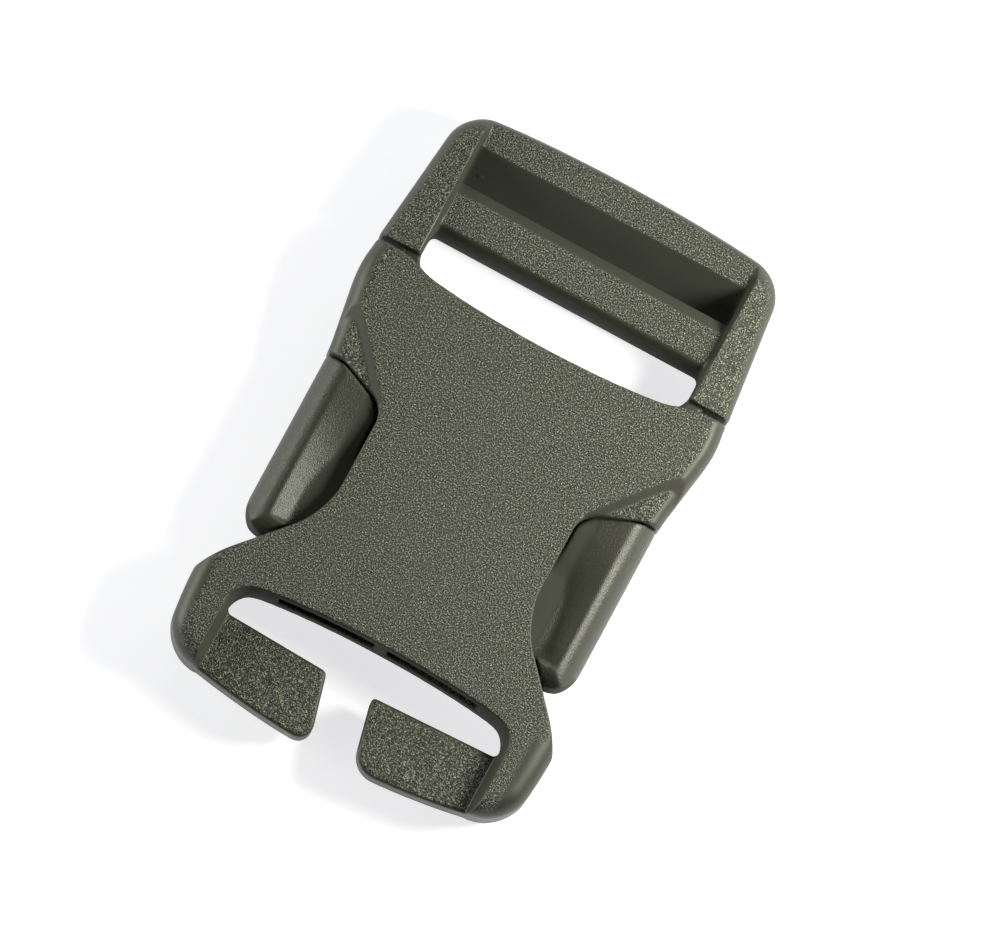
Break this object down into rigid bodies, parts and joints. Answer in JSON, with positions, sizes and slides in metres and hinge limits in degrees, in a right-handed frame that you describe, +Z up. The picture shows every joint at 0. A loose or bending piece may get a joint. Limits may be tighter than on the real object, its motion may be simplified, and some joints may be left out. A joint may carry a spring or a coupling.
{
  "type": "side release buckle",
  "caption": "Fastened side release buckle for flat webbing: hollow waisted socket with a split bar, and a plug with an adjuster frame and release pads.",
  "frame": {"origin": "on the surface that the buckle lies on, under the middle of its length and width", "axes": "+Y along the buckle towards the adjuster frame, +X across it, +Z up out of the face that the picture shows"},
  "size_m": [0.0522, 0.0839, 0.0114],
  "materials": {
    "socket_plastic": "olive drab acetal with a fine spark-eroded grain on the faces and smooth rounded edges",
    "plug_plastic": "olive drab acetal, grained bars and rails, smooth satin release pads and slot walls"
  },
  "bodies": {
    "root": {"socket_body": "socket_plastic", "plug_frame": "plug_plastic"}
  },
  "joints": []
}
